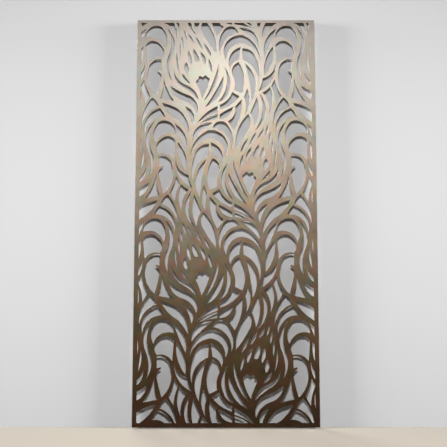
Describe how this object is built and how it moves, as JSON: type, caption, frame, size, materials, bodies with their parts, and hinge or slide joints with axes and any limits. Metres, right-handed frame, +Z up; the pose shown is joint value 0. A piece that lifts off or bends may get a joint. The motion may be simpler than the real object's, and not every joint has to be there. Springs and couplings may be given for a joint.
{
  "type": "decorative openwork panel",
  "caption": "Tall flat metal screen panel cut through with a feather pattern, on a slim rear frame with levelling glides and wall keyholes; it dresses or divides a room.",
  "frame": {"origin": "on the floor, under the middle of the panel's width and depth", "axes": "+X across the panel to the right as its face is seen, +Y from the face to the back, +Z up"},
  "size_m": [0.8, 0.033, 1.805],
  "materials": {
    "lacquered_sheet": "satin bronze lacquer, pale at the top and darker towards the foot",
    "frame_tube": "satin dark bronze lacquer",
    "corner_key": "as extruded",
    "bond_foam": "matt closed-cell foam",
    "wall_pad": "matt",
    "threaded_block": "zinc plated",
    "glide": "zinc plated"
  },
  "bodies": {
    "panel": {"face_sheet": "lacquered_sheet", "left_stile": "frame_tube", "right_stile": "frame_tube", "top_rail": "frame_tube", "bottom_rail": "frame_tube", "upper_left_key": "corner_key", "upper_right_key": "corner_key", "lower_left_key": "corner_key", "lower_right_key": "corner_key", "left_bond_strip": "bond_foam", "right_bond_strip": "bond_foam", "top_bond_strip": "bond_foam", "bottom_bond_strip": "bond_foam", "upper_left_pad": "wall_pad", "upper_right_pad": "wall_pad", "lower_left_pad": "wall_pad", "lower_right_pad": "wall_pad", "left_block": "threaded_block", "right_block": "threaded_block"},
    "left_glide": {"left_glide": "glide"},
    "right_glide": {"right_glide": "glide"}
  },
  "joints": [
    {"name": "left_glide_slide", "type": "slide", "parent": "panel", "child": "left_glide", "axis": [0, 0, -1], "range_m": [0, 0.005]},
    {"name": "right_glide_slide", "type": "slide", "parent": "panel", "child": "right_glide", "axis": [0, 0, -1], "range_m": [0, 0.005]}
  ]
}
